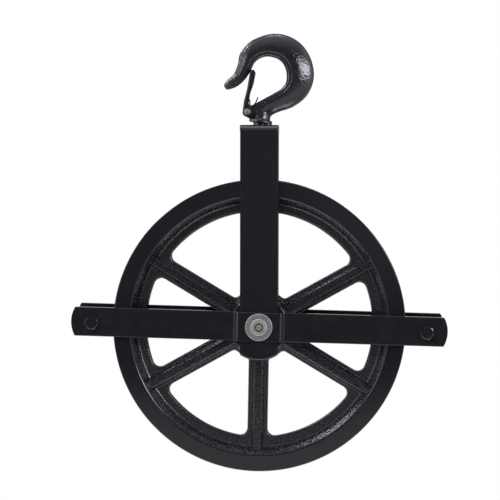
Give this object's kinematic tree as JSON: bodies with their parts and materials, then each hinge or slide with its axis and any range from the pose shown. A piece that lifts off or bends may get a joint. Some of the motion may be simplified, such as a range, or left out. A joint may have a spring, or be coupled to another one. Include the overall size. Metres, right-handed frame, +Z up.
{
  "type": "pulley wheel",
  "caption": "Hoisting block: a spoked cast rope wheel on an axle in a bent bar yoke, with bolted rope guards and a latched swivel hook.",
  "frame": {"origin": "centre of the wheel, on the axle, midway between the flanges", "axes": "+X to the right seen from the front, +Z up towards the hook, and -Y towards the front, where the grease nipple is"},
  "size_m": [0.3908, 0.0804, 0.4569],
  "materials": {
    "cast_black": "glossy black paint over a rough casting, smooth on the turned flange faces",
    "bar_black": "satin black paint over flat bar",
    "fastener_black": "satin black paint",
    "hook_black": "glossy blue-black enamel over a forging",
    "latch_black": "satin dark coating on pressed sheet",
    "zinc": "dull zinc plate",
    "plain_steel": "plain bright steel",
    "bronze": "oiled sintered bronze",
    "nipple_brass": "dull brass-coloured plate"
  },
  "bodies": {
    "hook": {"hook": "hook_black", "latch_pin": "zinc", "hook_nut": "hook_black", "hook_split_pin": "plain_steel"},
    "latch": {"latch": "latch_black", "latch_spring": "plain_steel"},
    "swivel": {"swivel_washer": "plain_steel"},
    "frame": {"yoke": "bar_black", "guard_front": "bar_black", "guard_rear": "bar_black", "guard_spacer_left": "bar_black", "guard_spacer_right": "bar_black", "guard_bolt_left": "fastener_black", "guard_bolt_right": "fastener_black", "guard_washer_left": "fastener_black", "guard_washer_right": "fastener_black", "guard_nut_left": "fastener_black", "guard_nut_right": "fastener_black", "axle_pin": "zinc", "axle_washer": "zinc", "grease_nipple": "nipple_brass", "thrust_washer_front": "plain_steel", "thrust_washer_rear": "plain_steel"},
    "wheel": {"wheel": "cast_black", "wheel_bush": "bronze"}
  },
  "joints": [
    {"name": "latch_hinge", "type": "hinge", "parent": "hook", "child": "latch", "pos_m": [-0.01295, 0, 0.22269], "axis": [0, 1, 0], "range_deg": [0, 42], "stiffness_Nm_per_rad": 0.1, "springref_deg": -45.84, "deforming": ["latch_spring"]},
    {"name": "hook_lean", "type": "hinge", "parent": "hook", "child": "swivel", "pos_m": [0, 0, 0.2065], "axis": [0, 1, 0], "range_deg": [0, 17]},
    {"name": "hook_swivel", "type": "hinge", "parent": "swivel", "child": "frame", "pos_m": [0, 0, 0.2065], "axis": [0, 0, 1], "continuous": true},
    {"name": "wheel_spin", "type": "hinge", "parent": "frame", "child": "wheel", "pos_m": [0, 0, 0], "axis": [0, 1, 0], "continuous": true}
  ]
}
